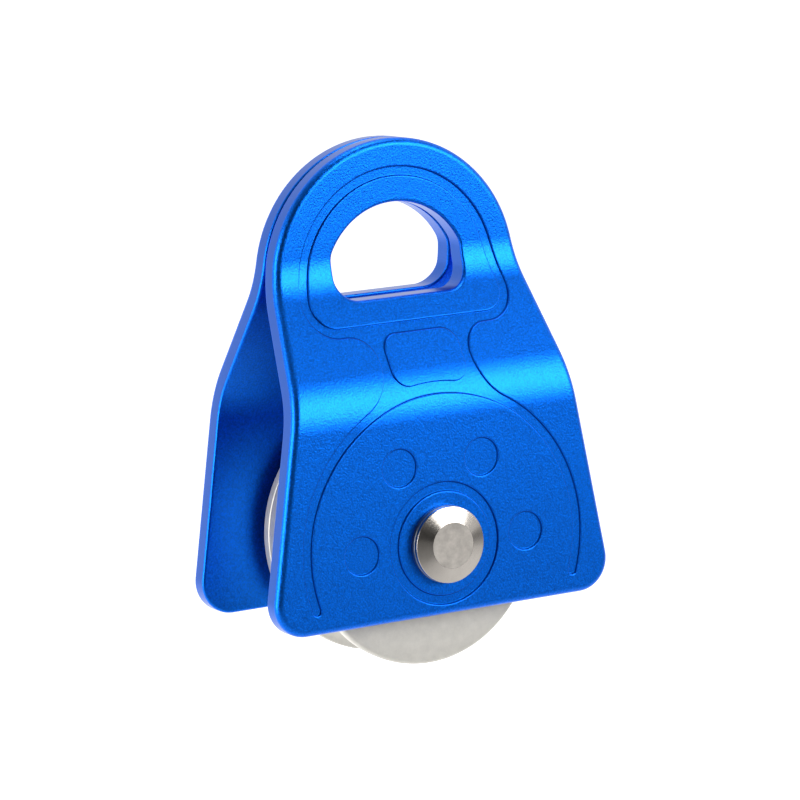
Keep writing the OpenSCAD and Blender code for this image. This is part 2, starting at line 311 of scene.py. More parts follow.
def eye_rounds(size):
    """The eye: an arched top, two shoulders and two bottom corners."""
    corner = size.eye_corner
    corner_x = size.eye_half_width - corner
    shoulder_z = size.eye_centre + math.sqrt((size.eye_radius - corner) ** 2 - corner_x ** 2)
    return [
        Round(-corner_x, size.eye_floor + corner, corner),
        Round(corner_x, size.eye_floor + corner, corner),
        Round(corner_x, shoulder_z, corner),
        Round(0.0, size.eye_centre, size.eye_radius),
        Round(-corner_x, shoulder_z, corner),
    ]


def loop_rounds(pattern, inset):
    """The band's loop over the eye, taken in by a given width."""
    return [
        Round(-pattern.loop_corner_x, pattern.loop_corner_z, pattern.loop_corner - inset),
        Round(pattern.loop_corner_x, pattern.loop_corner_z, pattern.loop_corner - inset),
        Round(0.0, pattern.loop_centre, pattern.loop_radius - inset),
    ]


def band_rounds(pattern):
    """The outer edge of the whole band: loop, neck, and the big arc with its two tips."""
    top_x = pattern.neck_half_width + pattern.neck_top_fillet
    top_z = pattern.loop_corner_z - pattern.loop_corner - pattern.neck_top_fillet
    foot_x = pattern.neck_half_width + pattern.neck_foot_fillet
    foot_z = math.sqrt((pattern.arc_radius + pattern.neck_foot_fillet) ** 2 - foot_x ** 2)
    tip = pattern.band / 2
    tip_reach = pattern.arc_radius - tip
    tip_z = tip - pattern.arc_drop
    tip_x = math.sqrt(tip_reach ** 2 - tip_z ** 2)
    inside = pattern.arc_radius - pattern.band
    return [
        Round(0.0, pattern.loop_centre, pattern.loop_radius),
        Round(-pattern.loop_corner_x, pattern.loop_corner_z, pattern.loop_corner),
        Round(-top_x, top_z, pattern.neck_top_fillet, -1),
        Round(-foot_x, foot_z, pattern.neck_foot_fillet, -1),
        Round(0.0, 0.0, pattern.arc_radius),
        Round(-tip_x, tip_z, tip),
        Round(0.0, 0.0, inside, -1),
        Round(tip_x, tip_z, tip),
        Round(0.0, 0.0, pattern.arc_radius),
        Round(foot_x, foot_z, pattern.neck_foot_fillet, -1),
        Round(top_x, top_z, pattern.neck_top_fillet, -1),
        Round(pattern.loop_corner_x, pattern.loop_corner_z, pattern.loop_corner),
    ]


def window_rounds(pattern):
    """The raised window in the neck, whose lower edge follows the big arc."""
    corner = pattern.window_corner
    corner_x = pattern.neck_half_width - pattern.band - corner
    foot_radius = pattern.arc_radius - pattern.band + pattern.window_foot
    low_z = math.sqrt((foot_radius + corner) ** 2 - corner_x ** 2)
    top_z = pattern.window_top - corner
    return [
        Round(-corner_x, top_z, corner),
        Round(-corner_x, low_z, corner),
        Round(0.0, 0.0, foot_radius, -1),
        Round(corner_x, low_z, corner),
        Round(corner_x, top_z, corner),
    ]


# ---------------------------------------------------------------- mesh tools


@dataclass
class Section:
    """How a wall goes down: offsets from its outline with depths, and the steps that have a finish."""

    points: list
    finished_steps: range
    finish: str


def quarter_turn(segments):
    """Angles from 0 to a quarter turn."""
    return [math.pi / 2 * k / segments for k in range(segments + 1)]


def recess_section(side, rounding, depth, segments=3):
    """A recess wall with its lip and foot rounded; side is 1 on the recess's outside, -1 round an island.

    The recess walls' painted shade runs from under the lip to the foot's end.
    """
    turns = quarter_turn(segments)
    lip = [(side * rounding * (1 - math.sin(a)), rounding * (1 - math.cos(a))) for a in turns]
    foot = [(-side * rounding * (1 - math.cos(a)), depth - rounding * (1 - math.sin(a))) for a in turns]
    wide = side * (rounding + GUARD)
    points = [(wide, 0.0), *lip, *foot, (-wide, depth)]
    return Section(points, range(segments + 1, 2 * segments + 2), "recess_wall_painted_shade")


def edge_section(face_round, back_round, thickness, side, segments=8):
    """A through edge with both corners rounded; side is -1 round the plate, 1 in a hole.

    The edge finish is on the straight wall between the roundings.
    """
    turns = quarter_turn(segments)
    face = [(side * face_round * (1 - math.sin(a)), face_round * (1 - math.cos(a))) for a in turns]
    back = [
        (side * back_round * (1 - math.sin(a)), thickness - back_round * (1 - math.cos(a)))
        for a in reversed(turns)
    ]
    start, end = side * (face_round + GUARD), side * (back_round + GUARD)
    points = [(start, 0.0), *face, *back, (end, thickness)]
    return Section(points, range(segments + 1, segments + 2), "milled_anodised_edge")


class FlatPlate:
    """A plate being drawn flat: X and Z as on the finished plate, Y the depth below its outer face."""

    def __init__(self):
        self.mesh = bmesh.new()
        self.outward = self.mesh.verts.layers.float_vector.new("outward")

    def wall(self, points, section):
        """Draws an outline at the section's start and extrudes it along its steps; returns both rims."""
        material = PLATE_FINISHES.index(section.finish)
        first_offset, first_depth = section.points[0]
        corners = []
        for point, normal in points:
            place = point + first_offset * normal
            corner = self.mesh.verts.new((place.x, first_depth, place.y))
            corner[self.outward] = (normal.x, 0.0, normal.y)
            corners.append(corner)
        rim = [self.mesh.edges.new((corners[i - 1], corners[i])) for i in range(len(corners))]
        first_rim = rim
        for k, (offset, depth) in enumerate(section.points[:-1]):
            next_offset, next_depth = section.points[k + 1]
            made = bmesh.ops.extrude_edge_only(self.mesh, edges=rim)["geom"]
            moved = {g for g in made if isinstance(g, bmesh.types.BMVert)}
            for corner in moved:
                corner.co += (next_offset - offset) * corner[self.outward]
                corner.co.y += next_depth - depth
            for face in (g for g in made if isinstance(g, bmesh.types.BMFace)):
                face.material_index = material if k in section.finished_steps else 0
            rim = [
                g for g in made
                if isinstance(g, bmesh.types.BMEdge) and g.verts[0] in moved and g.verts[1] in moved
            ]
        return first_rim, rim

    def floor(self, *rims):
        """Fills the flat region between rims."""
        edges = [edge for rim in rims for edge in rim]
        bmesh.ops.triangle_fill(self.mesh, use_beauty=True, edges=edges)

    def cut_across(self, low, high, step):
        """Cuts the plate into strips between two heights, so that it can bend."""
        count = math.ceil((high - low) / step)
        for k in range(count + 1):
            everything = self.mesh.verts[:] + self.mesh.edges[:] + self.mesh.faces[:]
            height = low + (high - low) * k / count
            bmesh.ops.bisect_plane(
                self.mesh, geom=everything, dist=MERGE, plane_co=(0, 0, height), plane_no=(0, 0, 1),
            )


def plate_profile(size, skirt_mid, head_mid):
    """Returns a function that gives how far out a layer of the bent plate lies at a given height."""
    turn = size.bend_angle
    bend = size.bend_radius
    slope = (skirt_mid - head_mid - 2 * bend * (1 - math.cos(turn))) / math.sin(turn)
    low = size.bend_start
    high = low + 2 * bend * math.sin(turn) + slope * math.cos(turn)

    def place(out, z):
        """Distance from the middle plane of the layer that lies out beyond the plate's mid surface."""
        low_end = low + (bend + out) * math.sin(turn)
        high_start = high - (bend - out) * math.sin(turn)
        if z <= low:
            return skirt_mid + out
        if z >= high:
            return head_mid + out
        if z < low_end:
            return skirt_mid - bend + math.sqrt((bend + out) ** 2 - (z - low) ** 2)
        if z > high_start:
            return head_mid + bend - math.sqrt((bend - out) ** 2 - (high - z) ** 2)
        start = skirt_mid - bend + (bend + out) * math.cos(turn)
        return start - (z - low_end) * math.tan(turn)

    return place, low, high


def finish_object(node, mesh, materials):
    """Makes a closed bmesh the piece that stands for a CAD node and moves with its body."""
    data = bpy.data.meshes.new(node + "_looks")
    mesh.to_mesh(data)
    mesh.free()
    data.shade_smooth()
    piece = bpy.data.objects.new(node + "_looks", data)
    bpy.context.scene.collection.objects.link(piece)
    for material in materials:
        data.materials.append(material)
    normals = piece.modifiers.new("Even shading", "WEIGHTED_NORMAL")
    normals.mode = "FACE_AREA"
    normals.weight = 100
    normals.keep_sharp = True
    bodies = frame["record"]["behaviour"]["bodies"]
    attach(piece, next(body for body, nodes in bodies.items() if node in nodes))
    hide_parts(node)


def draw_plate(name, settings):
    """Draws a side plate flat, with its eye, its bore and the recessed pattern."""
    size, pattern, turned = settings.plate, settings.pattern, settings.turned
    flat = FlatPlate()
    outside = flat.wall(
        outline_points(plate_rounds(size, *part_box(name))),
        edge_section(size.face_round, size.back_round, size.thickness, -1),
    )
    eye = flat.wall(
        outline_points(eye_rounds(size)),
        edge_section(size.eye_round, size.eye_round, size.thickness, 1),
    )
    bore = flat.wall(
        circle_points(0, 0, turned.axle_radius + turned.bush_gap + turned.bush_wall),
        edge_section(size.bore_round, size.bore_round, size.thickness, 1, segments=3),
    )

    into = recess_section(1, pattern.lip, pattern.depth)
    out_of = recess_section(-1, pattern.lip, pattern.depth)
    band = flat.wall(outline_points(band_rounds(pattern)), into)
    island = flat.wall(outline_points(loop_rounds(pattern, pattern.band)), out_of)
    window = flat.wall(outline_points(window_rounds(pattern)), out_of)
    ring_out = flat.wall(circle_points(0, 0, pattern.ring_radius + pattern.band), into)
    ring_in = flat.wall(circle_points(0, 0, pattern.ring_radius), out_of)
    dots = []
    for degrees in (-90, -30, 30, 90):
        angle = math.radians(degrees)
        x, z = pattern.dot_pitch * math.sin(angle), pattern.dot_pitch * math.cos(angle)
        dots.append(flat.wall(circle_points(x, z, pattern.dot_radius), into))

    flat.floor(outside[0], band[0], ring_out[0], *(dot[0] for dot in dots))
    flat.floor(band[1], island[1], window[1])
    flat.floor(island[0], eye[0])
    flat.floor(window[0])
    flat.floor(ring_out[1], ring_in[1])
    flat.floor(ring_in[0], bore[0])
    for dot in dots:
        flat.floor(dot[1])
    flat.floor(outside[1], eye[1], bore[1])
    return flat


def build_plate(name, side, settings):
    """Draws a side plate flat and bends it; side is -1 at the front and 1 at the rear."""
    size = settings.plate
    low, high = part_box(name)
    skirt_mid = max(abs(low.y), abs(high.y)) - size.thickness / 2
    head_mid = min(abs(low.y), abs(high.y)) + size.thickness / 2
    place, bend_low, bend_high = plate_profile(size, skirt_mid, head_mid)
    flat = draw_plate(name, settings)
    reach = (size.bend_radius + size.thickness / 2) * math.sin(size.bend_angle)
    flat.cut_across(bend_low, bend_low + reach, BEND_STRIP)
    flat.cut_across(bend_high - reach, bend_high, BEND_STRIP)
    mesh = flat.mesh
    bmesh.ops.recalc_face_normals(mesh, faces=mesh.faces[:])
    for corner in mesh.verts:
        out = size.thickness / 2 - corner.co.y
        corner.co.y = side * place(out, corner.co.z)
    # The rear plate is a mirror image, so its faces have to be turned round
    if side > 0:
        bmesh.ops.reverse_faces(mesh, faces=mesh.faces[:])
    bmesh.ops.triangulate(mesh, faces=[f for f in mesh.faces if len(f.verts) > 4])
    finish_object(name, mesh, [bpy.data.materials[finish] for finish in PLATE_FINISHES])


@dataclass
class Corner:
    """A corner of a turned outline: its radius, its place along the axle and its rounding."""

    radius: float
    y: float
    rounding: float = 0.0


def rounded_outline(corners, steps=4):
    """Points of a turned outline whose corners are rounded off."""
    points = []
    for i, corner in enumerate(corners):
        here = Vector((corner.radius, corner.y))
        if corner.rounding == 0:
            points.append(here)
            continue
        before, after = corners[i - 1], corners[(i + 1) % len(corners)]
        back = (Vector((before.radius, before.y)) - here).normalized()
        ahead = (Vector((after.radius, after.y)) - here).normalized()
        half_turn = (math.pi - back.angle(ahead)) / 2
        reach = corner.rounding * math.tan(half_turn)
        centre = here + (back + ahead).normalized() * corner.rounding / math.cos(half_turn)
        start, end = here + back * reach - centre, here + ahead * reach - centre
        for k in range(steps + 1):
            points.append(centre + start.slerp(end, k / steps) * corner.rounding)
    return points


def arc_corners(centre_r, centre_y, radius, start, end, steps):
    """Corners along an arc of a turned outline; angles run from outwards towards +Y."""
    corners = []
    for k in range(steps + 1):
        angle = start + (end - start) * k / steps
        corners.append(Corner(centre_r + radius * math.cos(angle), centre_y + radius * math.sin(angle)))
    return corners


def turn_piece(name, corners, material, steps, end_material=None):
    """Turns an outline about the axle line into the piece that stands for the CAD node of that name.

    Its flat ends get the end material, if there is one.
    """
    mesh = bmesh.new()
    points = rounded_outline(corners)
    verts = [mesh.verts.new((point.x, point.y, 0.0)) for point in points]
    # An outline that starts on the axis ends there too, and isn't closed along it
    first = 1 if corners[0].radius == 0 else 0
    edges = [mesh.edges.new((verts[i - 1], verts[i])) for i in range(first, len(verts))]
    bmesh.ops.spin(
        mesh, geom=verts + edges, cent=(0, 0, 0), axis=(0, 1, 0), angle=math.tau,
        steps=steps, use_merge=True, use_normal_flip=False, use_duplicate=False,
    )
    bmesh.ops.remove_doubles(mesh, verts=mesh.verts[:], dist=MERGE)
    bmesh.ops.recalc_face_normals(mesh, faces=mesh.faces[:])
    for edge in mesh.edges:
        edge.smooth = edge.calc_face_angle(0.0) < SHARP_TURN
    materials = [material]
    if end_material:
        materials.append(end_material)
        end_y = max(abs(corner.y) for corner in corners)
        for face in mesh.faces:
            at_end = all(abs(abs(vert.co.y) - end_y) < TOUCHING for vert in face.verts)
            face.material_index = 1 if at_end else 0
    finish_object(name, mesh, materials)


def mirrored(corners):
    """The same outline at the other end of the axle."""
    return [Corner(corner.radius, -corner.y, corner.rounding) for corner in corners]


def turn_pair(rear_name, corners, material, steps):
    """Turns a rear piece and its front copy."""
    turn_piece(rear_name, corners, material, steps)
    turn_piece(rear_name.replace("rear", "front", 1), mirrored(corners), material, steps)


def ring_corners(inner, outer, low, high, rounding):
    """A plain ring with its four edges rounded."""
    return [
        Corner(inner, low, rounding), Corner(outer, low, rounding),
        Corner(outer, high, rounding), Corner(inner, high, rounding),
    ]


# ---------------------------------------------------------------- materials


def add(tree, kind, settings=None, **links):
    """Adds a node, sets its properties and input values, and links the named inputs; i0 is input 0."""
    node = tree.nodes.new(kind)
    for key, value in (settings or {}).items():
        if isinstance(key, int) or key in node.inputs:
            node.inputs[key].default_value = value
        else:
            setattr(node, key, value)
    for key, source in links.items():
        socket = node.inputs[int(key[1:])] if key[0] == "i" and key[1:].isdigit() else node.inputs[key]
        tree.links.new(source, socket)
    return node


def new_material(name):
    """An empty material with a Principled shader on its output."""
    material = bpy.data.materials.new(name)
    material.use_nodes = True
    tree = material.node_tree
    tree.nodes.clear()
    shader = add(tree, "ShaderNodeBsdfPrincipled")
    output = add(tree, "ShaderNodeOutputMaterial")
    tree.links.new(shader.outputs["BSDF"], output.inputs["Surface"])
    return material, tree, shader


def rgba(linear):
    """A linear colour with full opacity."""
    return (*linear, 1.0)


def shade(linear, factor):
    """A lighter or darker copy of a linear colour."""
    return rgba([min(1.0, channel * factor) for channel in linear])


def coat(shader, weight):
    """Covers a shader with the clear, sealed oxide layer that anodising grows on aluminium."""
    shader.inputs["Coat Weight"].default_value = weight
    shader.inputs["Coat IOR"].default_value = 1.7
    shader.inputs["Coat Roughness"].default_value = 0.3


def blasted_anodised_aluminium(tint):
    """Bead-blasted, dyed and anodised: a metal sheen under colour, soft and sparkling from fine dimples."""
    material, tree, shader = new_material("blasted_anodised_aluminium")
    shader.inputs["Metallic"].default_value = 1.0
    coat(shader, 0.06)
    place = add(tree, "ShaderNodeTexCoord").outputs["Object"]
    # Dimples of the blasting beads give the leathery sparkle. Real ones lie closer, and are drawn
    # 0.45 mm apart because finer ones wouldn't show
    dimples = add(tree, "ShaderNodeTexNoise", {"Scale": 1 / (0.45 * MM), "Detail": 2.0}, Vector=place)
    # Painted shade: the colour is darker in the dimples and lighter between them
    ramp = add(tree, "ShaderNodeValToRGB", Fac=dimples.outputs["Fac"])
    ramp.color_ramp.elements[0].position = 0.3
    ramp.color_ramp.elements[0].color = shade(tint, 0.78)
    ramp.color_ramp.elements[1].position = 0.7
    ramp.color_ramp.elements[1].color = shade(tint, 1.22)
    tree.links.new(ramp.outputs["Color"], shader.inputs["Base Color"])
    rough = add(tree, "ShaderNodeMapRange", {"To Min": 0.32, "To Max": 0.4}, Value=dimples.outputs["Fac"])
    tree.links.new(rough.outputs["Result"], shader.inputs["Roughness"])
    bump = add(
        tree, "ShaderNodeBump", {"Strength": 1.0, "Distance": 0.065 * MM}, Height=dimples.outputs["Fac"],
    )
    tree.links.new(bump.outputs["Normal"], shader.inputs["Normal"])
    return material


def recess_wall_painted_shade(tint):
    """Milled walls of the recess, dull and darkened as painted shade, so that the pattern reads as thin
    lines.
    """
    material, tree, shader = new_material("recess_wall_painted_shade")
    shader.inputs["Metallic"].default_value = 1.0
    place = add(tree, "ShaderNodeTexCoord").outputs["Object"]
    # Painted shade in the recess corner, uneven in patches about 1.5 mm long
    patches = add(tree, "ShaderNodeTexNoise", {"Scale": 1 / (1.5 * MM), "Detail": 2.0}, Vector=place)
    ramp = add(tree, "ShaderNodeValToRGB", Fac=patches.outputs["Fac"])
    # Painted shade: the plates' blue at 0.35 to 0.55 of its brightness
    ramp.color_ramp.elements[0].color = shade(tint, 0.35)
    ramp.color_ramp.elements[1].color = shade(tint, 0.55)
    tree.links.new(ramp.outputs["Color"], shader.inputs["Base Color"])
    shader.inputs["Roughness"].default_value = 0.55
    return material


def milled_anodised_edge(tint):
    """Milled, dyed and anodised: smoother than the faces, so that the clear layer's reflection pales it."""
    material, tree, shader = new_material("milled_anodised_edge")
    shader.inputs["Metallic"].default_value = 1.0
    coat(shader, 0.2)
    place = add(tree, "ShaderNodeTexCoord").outputs["Object"]
    # Cutter marks about 0.6 mm apart, faint under the anodic layer
    marks = add(tree, "ShaderNodeTexNoise", {"Scale": 1 / (0.6 * MM), "Detail": 2.0}, Vector=place)
    ramp = add(tree, "ShaderNodeValToRGB", Fac=marks.outputs["Fac"])
    ramp.color_ramp.elements[0].color = shade(tint, 0.9)
    ramp.color_ramp.elements[1].color = shade(tint, 1.1)
    tree.links.new(ramp.outputs["Color"], shader.inputs["Base Color"])
    rough = add(tree, "ShaderNodeMapRange", {"To Min": 0.26, "To Max": 0.34}, Value=marks.outputs["Fac"])
    tree.links.new(rough.outputs["Result"], shader.inputs["Roughness"])
    return material


@dataclass
class Turning:
    """How a turned finish looks: ring spacing in metres, roughness range, ring height and stain contrast."""

    tint: tuple
    spacing: float
    rough_low: float
    rough_high: float
    ring_height: float = 0.0
    stains: float = 0.05
    metallic: float = 1.0


def turned_metal(name, look):
    """Metal cut or ground on a lathe: fine rings about the axle line that spread the highlights.

    The rings are drawn a few times coarser than real tool marks, because finer ones wouldn't show.
    """
    material, tree, shader = new_material(name)
    shader.inputs["Metallic"].default_value = look.metallic
    place = add(tree, "ShaderNodeTexCoord").outputs["Object"]
    axes = add(tree, "ShaderNodeSeparateXYZ", Vector=place)
    across = add(tree, "ShaderNodeCombineXYZ", X=axes.outputs["X"], Y=axes.outputs["Z"])
    radius = add(tree, "ShaderNodeVectorMath", {"operation": "LENGTH"}, i0=across.outputs[0])
    ring_place = add(tree, "ShaderNodeCombineXYZ", X=radius.outputs["Value"], Y=axes.outputs["Y"])
    rings = add(
        tree, "ShaderNodeTexNoise", {"Scale": 1 / look.spacing, "Detail": 2.0}, Vector=ring_place.outputs[0],
    )
    # Faint stains about 2.5 mm across, as on handled bare metal
    stains = add(
        tree, "ShaderNodeTexNoise", {"Scale": 1 / (2.5 * MM), "Detail": 5.0, "Roughness": 0.65}, Vector=place,
    )
    ramp = add(tree, "ShaderNodeValToRGB", Fac=stains.outputs["Fac"])
    ramp.color_ramp.elements[0].position = 0.3
    ramp.color_ramp.elements[0].color = shade(look.tint, 1 - look.stains)
    ramp.color_ramp.elements[1].position = 0.7
    ramp.color_ramp.elements[1].color = shade(look.tint, 1 + look.stains)
    tree.links.new(ramp.outputs["Color"], shader.inputs["Base Color"])
    rough = add(
        tree, "ShaderNodeMapRange", {"To Min": look.rough_low, "To Max": look.rough_high},
        Value=rings.outputs["Fac"],
    )
    tree.links.new(rough.outputs["Result"], shader.inputs["Roughness"])
    bump = add(
        tree, "ShaderNodeBump", {"Strength": 1.0, "Distance": look.ring_height},
        Height=rings.outputs["Fac"],
    )
    tree.links.new(bump.outputs["Normal"], shader.inputs["Normal"])
    return material


def moulded_nylon(tint):
    """Moulded polyamide: milky and softly glossy."""
    material, tree, shader = new_material("moulded_nylon")
    shader.inputs["Base Color"].default_value = rgba(tint)
    shader.inputs["Roughness"].default_value = 0.45
    shader.inputs["Subsurface Weight"].default_value = 0.1
    shader.inputs["Subsurface Radius"].default_value = (MM, MM, 0.6 * MM)
    return material


def make_materials(colours):
    """All finishes, by the name of the record's material slot."""
    milled_anodised_edge(colours.anodised_edge)
    # Recess walls: the plates' blue, darkened as painted shade
    recess_wall_painted_shade(colours.anodised_blue)
    # Faced and peened end of the axle: duller and more stained than the turned cone around it
    turned_metal("peened_stainless_end", Turning(colours.peened_steel, 0.5 * MM, 0.46, 0.62, 0.01 * MM, 0.2))
    return {
        "anodised_plate": blasted_anodised_aluminium(colours.anodised_blue),
        "machined_aluminium": turned_metal(
            "turned_bare_aluminium",
            Turning(colours.machined_aluminium, 0.3 * MM, 0.38, 0.5, 0.002 * MM, 0.07, 0.6)),
        "stainless_axle": turned_metal(
            "turned_stainless_steel", Turning(colours.stainless, 0.14 * MM, 0.16, 0.26, 0.001 * MM)),
        # Washers and spacers: ground steel, darkened as painted shade under the axle heads
        "stainless_washer": turned_metal(
            "ground_stainless_painted_shade", Turning(colours.washer_steel_painted_shade, 0.2 * MM, 0.26, 0.36, 0.001 * MM)),
        "bronze_bush": turned_metal(
            "sintered_bronze", Turning(colours.bronze, 0.3 * MM, 0.42, 0.55, 0.004 * MM, 0.12)),
        "spring_steel": turned_metal(
            "phosphated_spring_steel", Turning(colours.clip_steel, 0.3 * MM, 0.45, 0.6, 0.004 * MM, 0.1)),
        "bearing_steel": turned_metal(
            "polished_bearing_steel", Turning(colours.bearing_steel, 0.1 * MM, 0.08, 0.14)),
        "bearing_shield": turned_metal(
            "pressed_shield_steel", Turning(colours.shield_steel, 0.5 * MM, 0.3, 0.38, 0.002 * MM)),
        "cage_polyamide": moulded_nylon(colours.cage_nylon),
    }


# ---------------------------------------------------------------- pieces


def settings_of(context):
    """The pulley's settings in the current scene."""
    return context.scene.pulley


class PULLEY_OT_finishes(bpy.types.Operator):
    """Make the finishes and put them on the CAD nodes"""

    bl_idname = "pulley.finishes"
    bl_label = "Finishes"

    def execute(self, context):
        finishes = make_materials(settings_of(context).colours)
        for part in frame["record"]["subparts"]:
            data = frame["nodes"][part["node"]].data
            data.materials.clear()
            data.materials.append(finishes[part["material_slot"]])
        return {"FINISHED"}


class PULLEY_OT_plates(bpy.types.Operator):
    """Model both bent side plates with their rounded edges and recessed pattern"""

    bl_idname = "pulley.plates"
    bl_label = "Side plates"

    def execute(self, context):
        settings = settings_of(context)
        build_plate("front_cheek", -1, settings)
        build_plate("rear_cheek", 1, settings)
        return {"FINISHED"}


class PULLEY_OT_sheave(bpy.types.Operator):
    """Turn the sheave with its round groove, bearing seats and retaining-ring grooves"""

    bl_idname = "pulley.sheave"
    bl_label = "Sheave"

    def execute(self, context):
        turned = settings_of(context).turned
        _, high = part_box("sheave")
        flange_r, end_y = high.x, high.y
        bore_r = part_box("rear_bearing_outer_ring")[1].x
        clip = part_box("rear_circlip")
        clip_r = bore_r + turned.clip_groove
        groove_r = turned.groove_radius
        centre_r = turned.tread_radius + groove_r
        mouth = math.asin(math.sqrt(1 - ((centre_r - flange_r) / groove_r) ** 2))
        mouth_y = groove_r * math.sin(mouth)
        rim, edge = turned.rim_round, turned.edge_break
        half = [
            Corner(bore_r, clip[0].y), Corner(clip_r, clip[0].y), Corner(clip_r, clip[1].y),
            Corner(bore_r, clip[1].y), Corner(bore_r, end_y, edge), Corner(flange_r, end_y, rim),
            Corner(flange_r, mouth_y, rim / 2),
        ]
        groove = arc_corners(centre_r, 0.0, groove_r, math.pi - mouth, math.pi + mouth, GROOVE_STEPS)
        corners = half + groove[1:-1] + list(reversed(mirrored(half)))
        material = bpy.data.materials["turned_bare_aluminium"]
        turn_piece("sheave", corners, material, turned.turning_steps)
        return {"FINISHED"}


class PULLEY_OT_axle(bpy.types.Operator):
    """Turn the axle with its coned front head, and the rear head riveted on its tenon"""

    bl_idname = "pulley.axle"
    bl_label = "Axle and heads"

    def execute(self, context):
        turned = settings_of(context).turned
        material = bpy.data.materials["turned_stainless_steel"]
        _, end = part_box("axle_rear_head")
        under_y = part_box("rear_head_washer")[1].y
        wall_y = under_y + turned.head_wall
        head_r, edge = end.x, turned.edge_break
        cone = [
            Corner(turned.head_flat, end.y, edge), Corner(head_r, wall_y, edge),
            Corner(head_r, under_y, edge / 2),
        ]
        front = mirrored([Corner(0.0, end.y), *cone, Corner(turned.axle_radius, under_y)])
        tenon = [
            Corner(turned.axle_radius, under_y), Corner(turned.tenon_radius, under_y),
            Corner(turned.tenon_radius, end.y, edge), Corner(0.0, end.y),
        ]
        peened = bpy.data.materials["peened_stainless_end"]
        turn_piece("axle_pin", front + tenon, material, turned.turning_steps, peened)
        seat = [Corner(turned.tenon_radius, under_y), Corner(turned.tenon_radius, end.y, edge / 2)]
        turn_piece("axle_rear_head", seat + cone, material, turned.turning_steps, peened)
        return {"FINISHED"}


class PULLEY_OT_washers(bpy.types.Operator):
    """Turn the washers under the heads and the spacers beside the bearings"""

    bl_idname = "pulley.washers"
    bl_label = "Washers and spacers"

    def execute(self, context):
        turned = settings_of(context).turned
        material = bpy.data.materials["ground_stainless_painted_shade"]
        for node in ("rear_head_washer", "rear_thrust_spacer"):
            low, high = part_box(node)
            rounding = min(turned.edge_break, (high.y - low.y) / 3)
            corners = ring_corners(turned.axle_radius, high.x, low.y, high.y, rounding)
            turn_pair(node, corners, material, turned.turning_steps)
        return {"FINISHED"}


class PULLEY_OT_bushes(bpy.types.Operator):
    """Turn the flanged bronze bushes of both plates"""

    bl_idname = "pulley.bushes"
    bl_label = "Plate bushes"

    def execute(self, context):
        turned = settings_of(context).turned
        low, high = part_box("rear_cheek_bush")
        bore_r = turned.axle_radius + turned.bush_gap
        flange_y = low.y + turned.bush_flange
        edge = turned.edge_break
        corners = [
            Corner(bore_r, low.y, edge), Corner(high.x, low.y, edge), Corner(high.x, flange_y, edge),
            Corner(bore_r + turned.bush_wall, flange_y), Corner(bore_r + turned.bush_wall, high.y, edge),
            Corner(bore_r, high.y, edge),
        ]
        material = bpy.data.materials["sintered_bronze"]
        turn_pair("rear_cheek_bush", corners, material, turned.turning_steps)
        return {"FINISHED"}


class PULLEY_OT_bearings(bpy.types.Operator):
    """Grind the bearing rings with their raceways, and press the shields"""

    bl_idname = "pulley.bearings"
    bl_label = "Bearing rings and shields"

    def execute(self, context):
        turned = settings_of(context).turned
        low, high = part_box("rear_bearing_outer_ring")
        middle_y = (low.y + high.y) / 2
        axle_r, outer_r, floor = turned.axle_radius, high.x, turned.ring_floor
        shoulder = turned.ring_shoulder
        pitch_r = (axle_r + outer_r) / 2
        race_r = pitch_r - axle_r - floor
        half_turn = math.acos((race_r - shoulder) / race_r)
        inner_race = arc_corners(
            pitch_r, middle_y, race_r, math.pi + half_turn, math.pi - half_turn, RACE_STEPS)
        outer_race = arc_corners(pitch_r, middle_y, race_r, -half_turn, half_turn, RACE_STEPS)
        inner_land, outer_land = axle_r + floor + shoulder, outer_r - floor - shoulder
        edge = turned.edge_break
        inner = [
            Corner(inner_land, low.y, edge), *inner_race, Corner(inner_land, high.y, edge),
            Corner(axle_r, high.y, edge), Corner(axle_r, low.y, edge),
        ]
        shield_low, shield_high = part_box("rear_bearing_outboard_shield")
        seat_r, seat_depth = shield_high.x, high.y - shield_low.y
        outer = [
            Corner(seat_r, low.y), Corner(seat_r, low.y + seat_depth), Corner(outer_land, low.y + seat_depth),
            *outer_race,
            Corner(outer_land, high.y - seat_depth), Corner(seat_r, high.y - seat_depth),
            Corner(seat_r, high.y), Corner(outer_r, high.y, edge), Corner(outer_r, low.y, edge),
        ]
        polished = bpy.data.materials["polished_bearing_steel"]
        turn_pair("rear_bearing_inner_ring", inner, polished, turned.turning_steps)
        turn_pair("rear_bearing_outer_ring", outer, polished, turned.turning_steps)
        pressed = bpy.data.materials["pressed_shield_steel"]
        for node in ("rear_bearing_outboard_shield", "rear_bearing_inboard_shield"):
            shield_low, shield_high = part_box(node)
            thickness = shield_high.y - shield_low.y
            corners = ring_corners(
                inner_land + turned.shield_gap, seat_r, shield_low.y, shield_high.y, thickness / 3)
            turn_pair(node, corners, pressed, turned.turning_steps)
        return {"FINISHED"}


# ---------------------------------------------------------------- stage


class PULLEY_OT_stage(bpy.types.Operator):
    """Set up the camera, the floor and the studio light"""

    bl_idname = "pulley.stage"
    bl_label = "Stage"

    def execute(self, context):
        stage = settings_of(context).stage
        colours = settings_of(context).colours
        make_camera(context.scene, stage)
        make_floor(context.scene, stage, colours.floor_white)
        make_world(context.scene)
        for softbox in SOFTBOXES:
            make_softbox(context.scene, softbox, Vector(stage.light_aim))
        context.scene.view_settings.view_transform = "Standard"
        return {"FINISHED"}


@dataclass
class Softbox:
    """A rectangular softbox; degrees to the right of the front and up, metres, and brightness of white."""

    name: str
    azimuth: float
    elevation: float
    distance: float
    width: float
    height: float
    brightness: float


